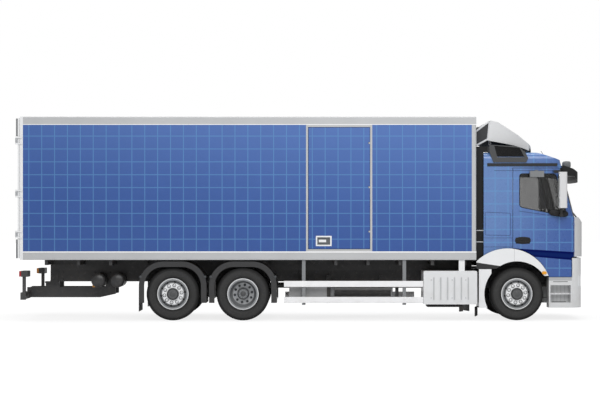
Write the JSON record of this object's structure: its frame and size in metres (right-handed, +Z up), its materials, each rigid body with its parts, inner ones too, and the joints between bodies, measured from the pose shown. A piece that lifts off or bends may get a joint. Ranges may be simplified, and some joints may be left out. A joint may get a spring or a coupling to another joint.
{
  "type": "rigid box truck",
  "caption": "Cab-over rigid box truck with a tandem rear axle group, a closed load body with side and rear doors, a tilting cab and steered front wheels.",
  "frame": {"origin": "on the ground, below the middle of the overall length and width", "axes": "+X forwards, +Y to the truck's left, +Z up"},
  "size_m": [10.997, 2.84, 3.925],
  "materials": {
    "body_blue": "gloss paint with a pale grid of lines",
    "body_grey": "satin light grey profiles",
    "body_white": "gloss white paint",
    "cab_blue": "gloss paint with a pale grid of lines",
    "bumper_grey": "moulded, painted light grey",
    "chassis_black": "satin chassis paint",
    "cast_grey": "painted castings",
    "black_plastic": "grained moulded plastic",
    "steel": "zinc plated",
    "rim_silver": "silver wheel paint",
    "tyre_rubber": "moulded rubber",
    "tank_aluminium": "brushed sheet",
    "glass": "tinted",
    "lens": "clear, red and amber lenses",
    "floor_board": "coated plywood",
    "interior_grey": "grained",
    "seat_fabric": "woven"
  },
  "bodies": {
    "chassis": {"chassis_frame": "chassis_black", "subframe": "chassis_black", "front_axle": "cast_grey", "rear_axles": "cast_grey", "engine": "cast_grey", "fuel_tank": "tank_aluminium", "exhaust_box": "body_white", "air_tanks": "chassis_black", "battery_box": "black_plastic", "side_guards": "body_white", "rear_mudguards": "black_plastic", "front_mudguards": "body_white", "coupling_frame": "chassis_black", "front_bumper": "bumper_grey", "lamps": "lens", "box_floor": "floor_board", "box_walls": "body_blue", "box_roof": "body_white", "box_rails": "body_grey", "box_rear_frame": "body_white"},
    "side_door": {"side_door": "body_blue"},
    "rear_left_door": {"rear_left_door": "body_white", "rear_left_fittings": "steel"},
    "rear_right_door": {"rear_right_door": "body_white", "rear_right_fittings": "steel"},
    "cab": {"cab_roof": "cab_blue", "cab_back": "cab_blue", "cab_front": "body_white", "cab_floor": "chassis_black", "windscreen": "glass", "grille": "black_plastic", "wheel_arches": "body_white", "sun_visor": "black_plastic", "roof_deflector": "bumper_grey", "air_intake": "black_plastic", "cab_lamps": "lens", "dashboard": "interior_grey", "seats": "seat_fabric"},
    "left_door": {"left_door": "cab_blue", "left_door_glass": "glass", "left_mirror": "body_white"},
    "right_door": {"right_door": "cab_blue", "right_door_glass": "glass", "right_mirror": "body_white"},
    "left_knuckle": {"left_knuckle": "cast_grey"},
    "right_knuckle": {"right_knuckle": "cast_grey"},
    "track_rod": {"track_rod": "cast_grey"},
    "front_left_wheel": {"front_left_tyre": "tyre_rubber", "front_left_rim": "rim_silver"},
    "front_right_wheel": {"front_right_tyre": "tyre_rubber", "front_right_rim": "rim_silver"},
    "tag_left_wheel": {"tag_left_tyre": "tyre_rubber", "tag_left_rim": "rim_silver"},
    "tag_right_wheel": {"tag_right_tyre": "tyre_rubber", "tag_right_rim": "rim_silver"},
    "drive_left_wheels": {"drive_left_tyres": "tyre_rubber", "drive_left_rims": "rim_silver"},
    "drive_right_wheels": {"drive_right_tyres": "tyre_rubber", "drive_right_rims": "rim_silver"}
  },
  "joints": [
    {"name": "cab_tilt", "type": "hinge", "parent": "chassis", "child": "cab", "pos_m": [5.43, 0, 1.172], "axis": [0, 1, 0], "range_deg": [0, 60]},
    {"name": "left_door_swing", "type": "hinge", "parent": "cab", "child": "left_door", "pos_m": [5.2375, 1.138, 1.5], "axis": [0, 0, -1], "range_deg": [0, 70]},
    {"name": "right_door_swing", "type": "hinge", "parent": "cab", "child": "right_door", "pos_m": [5.2375, -1.138, 1.5], "axis": [0, 0, 1], "range_deg": [0, 70]},
    {"name": "side_door_swing", "type": "hinge", "parent": "chassis", "child": "side_door", "pos_m": [1.2965, -1.263, 2.5], "axis": [0, 0, 1], "range_deg": [0, 110]},
    {"name": "rear_left_swing", "type": "hinge", "parent": "chassis", "child": "rear_left_door", "pos_m": [-5.485, 1.293, 2.5], "axis": [0, 0, -1], "range_deg": [0, 270]},
    {"name": "rear_right_swing", "type": "hinge", "parent": "chassis", "child": "rear_right_door", "pos_m": [-5.485, -1.293, 2.5], "axis": [0, 0, 1], "range_deg": [0, 270]},
    {"name": "steer", "type": "hinge", "parent": "chassis", "child": "left_knuckle", "pos_m": [4.15, 0.85, 0.512], "axis": [0, 0, 1], "range_deg": [-40, 40]},
    {"name": "right_steer", "type": "hinge", "parent": "chassis", "child": "right_knuckle", "pos_m": [4.15, -0.85, 0.512], "axis": [0, 0, 1], "range_deg": [-40, 40]},
    {"name": "track_rod_turn", "type": "hinge", "parent": "left_knuckle", "child": "track_rod", "pos_m": [3.87, 0.85, 0.383], "axis": [0, 0, 1], "range_deg": [-40, 40]},
    {"name": "front_left_spin", "type": "hinge", "parent": "left_knuckle", "child": "front_left_wheel", "pos_m": [4.15, 1.02, 0.512], "axis": [0, 1, 0], "continuous": true},
    {"name": "front_right_spin", "type": "hinge", "parent": "right_knuckle", "child": "front_right_wheel", "pos_m": [4.15, -1.02, 0.512], "axis": [0, 1, 0], "continuous": true},
    {"name": "drive_left_spin", "type": "hinge", "parent": "chassis", "child": "drive_left_wheels", "pos_m": [-1.13, 0.917, 0.512], "axis": [0, 1, 0], "continuous": true},
    {"name": "drive_right_spin", "type": "hinge", "parent": "chassis", "child": "drive_right_wheels", "pos_m": [-1.13, -0.917, 0.512], "axis": [0, 1, 0], "continuous": true},
    {"name": "tag_left_spin", "type": "hinge", "parent": "chassis", "child": "tag_left_wheel", "pos_m": [-2.48, 1.065, 0.512], "axis": [0, 1, 0], "continuous": true},
    {"name": "tag_right_spin", "type": "hinge", "parent": "chassis", "child": "tag_right_wheel", "pos_m": [-2.48, -1.065, 0.512], "axis": [0, 1, 0], "continuous": true}
  ],
  "couplings": [
    {"joint": "right_steer", "follows": "steer", "ratio": 1},
    {"joint": "track_rod_turn", "follows": "steer", "ratio": -1}
  ]
}
